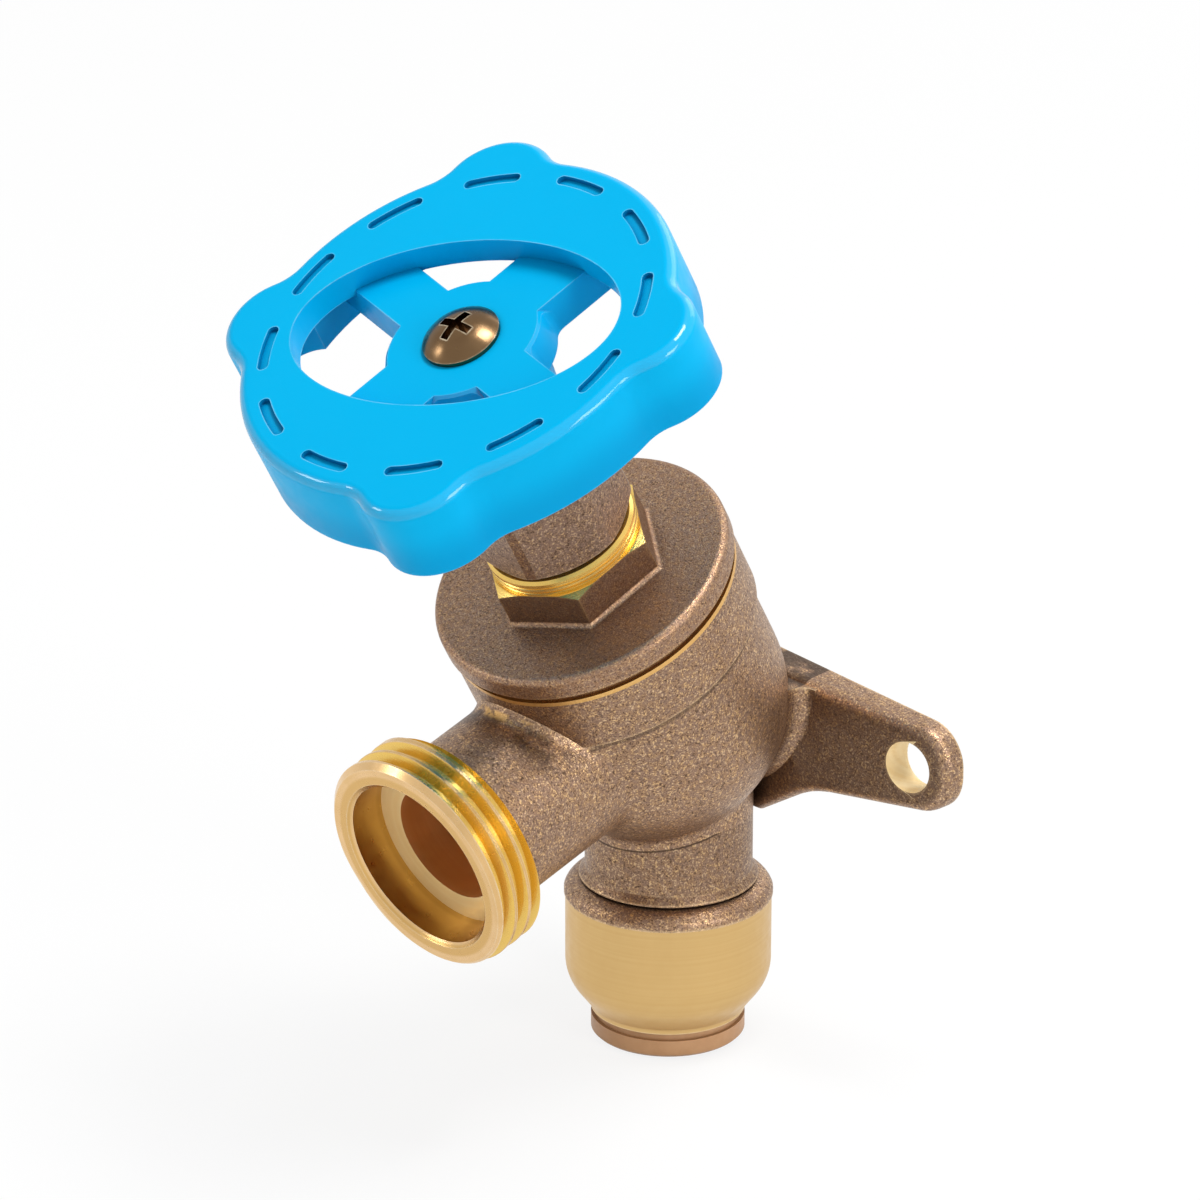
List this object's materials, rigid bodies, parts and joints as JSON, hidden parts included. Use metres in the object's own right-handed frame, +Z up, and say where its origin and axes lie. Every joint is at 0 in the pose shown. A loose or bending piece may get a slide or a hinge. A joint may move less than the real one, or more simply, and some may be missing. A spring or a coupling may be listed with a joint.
{
  "type": "garden valve",
  "caption": "Wall-mounted cast bronze hose valve with leaning handwheel, threaded hose outlet, push-in pipe socket and two wall ears.",
  "frame": {"origin": "on the wall plane, midway between the two wall screws", "axes": "+Z up, -Y out of the wall towards the hose outlet, +X to the right seen from the back"},
  "size_m": [0.0684, 0.0703, 0.1095],
  "materials": {
    "cast_bronze": "sand cast, unpolished, machined gold at the threads and faces",
    "nut_bronze": "rough forged with a turned chamfer",
    "bright_brass": "satin turned",
    "inner_brass": "machined",
    "screw_bronze": "polished, toned brown",
    "blue_paint": "glossy powder coat on cast aluminium",
    "sheet_steel": "spring steel",
    "black_rubber": "matt",
    "fibre": "graphite fibre sheet and cord",
    "tan_plastic": "moulded"
  },
  "bodies": {
    "valve": {"valve_body": "cast_bronze", "seat_ring": "inner_brass", "bonnet_gasket": "fibre", "bonnet": "cast_bronze", "packing_washer": "inner_brass", "packing": "fibre", "gland_ring": "inner_brass", "packing_nut": "nut_bronze", "socket_sleeve": "bright_brass", "socket_oring": "black_rubber", "oring_spacer": "tan_plastic", "grab_ring": "sheet_steel", "ring_guide": "tan_plastic"},
    "seat": {"seat_disc": "inner_brass", "seat_washer": "black_rubber", "washer_nut": "inner_brass", "swivel_clip": "sheet_steel"},
    "wheel": {"spindle": "inner_brass", "handwheel": "blue_paint", "handwheel_screw": "screw_bronze"},
    "collar": {"release_collar": "tan_plastic"}
  },
  "joints": [
    {"name": "seat_lift", "type": "slide", "parent": "valve", "child": "seat", "axis": [0, -0.4924, 0.8704], "range_m": [0, 0.00525]},
    {"name": "wheel_turn", "type": "hinge", "parent": "seat", "child": "wheel", "pos_m": [0, -0.01594, 0.0021], "axis": [0, -0.4924, 0.8704], "range_deg": [0, 1080]},
    {"name": "collar_push", "type": "slide", "parent": "valve", "child": "collar", "axis": [0, 0, 1], "range_m": [0, 0.0009]}
  ],
  "couplings": [
    {"joint": "seat_lift", "follows": "wheel_turn", "m_per_rad": 0.00027852}
  ]
}
